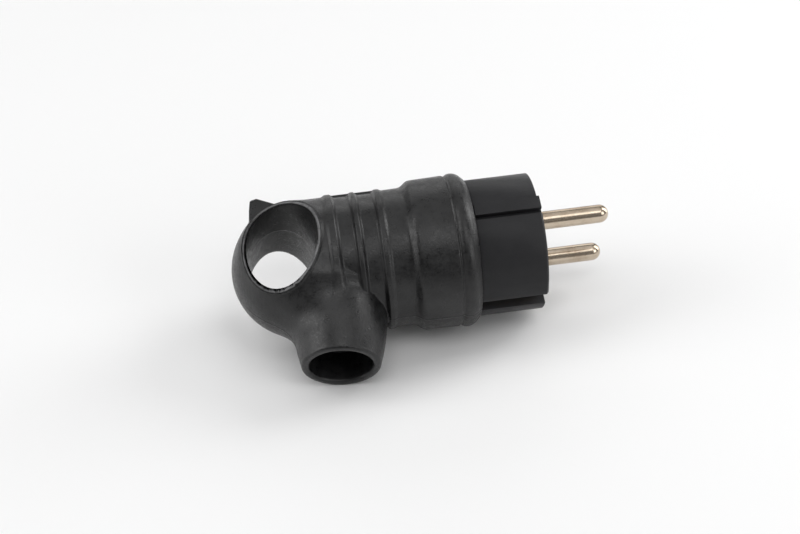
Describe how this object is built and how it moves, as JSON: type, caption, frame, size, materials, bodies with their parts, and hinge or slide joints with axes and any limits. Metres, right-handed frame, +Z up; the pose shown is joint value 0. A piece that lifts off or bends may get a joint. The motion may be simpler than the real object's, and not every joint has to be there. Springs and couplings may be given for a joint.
{
  "type": "earthed mains plug",
  "caption": "Black rubber earthed mains plug with two round pins, a ringed finger grip and an angled cable tube.",
  "frame": {"origin": "centre of the engagement face, between the two pins", "axes": "+X out of the engagement face along the pins, +Z up with the plug lying on its bead and on the cable tube's mouth"},
  "size_m": [0.0993, 0.0538, 0.0407],
  "materials": {
    "rubber_boot": "matt moulded rubber",
    "carrier_moulding": "satin thermoset moulding",
    "cover_moulding": "plain nylon",
    "plated_pin": "nickel plated, polished",
    "spring_bronze": "rolled strip",
    "zinc_steel": "zinc plated"
  },
  "bodies": {
    "root": {"boot": "rubber_boot", "contact_carrier": "carrier_moulding", "terminal_housing": "carrier_moulding", "terminal_cover": "cover_moulding", "line_pin": "plated_pin", "neutral_pin": "plated_pin", "line_wire_guard": "spring_bronze", "neutral_wire_guard": "spring_bronze", "terminal_screws": "zinc_steel", "earth_bow": "spring_bronze", "earth_sleeve": "plated_pin", "earth_sleeve_spring": "zinc_steel", "earth_clamp_plate": "zinc_steel", "earth_terminal_screw": "zinc_steel", "cord_clamp_bar": "cover_moulding", "cord_clamp_screws": "zinc_steel", "cord_clamp_nuts": "zinc_steel", "assembly_screw": "zinc_steel", "assembly_washer": "zinc_steel", "assembly_nut": "zinc_steel", "cover_screws": "zinc_steel"}
  },
  "joints": []
}
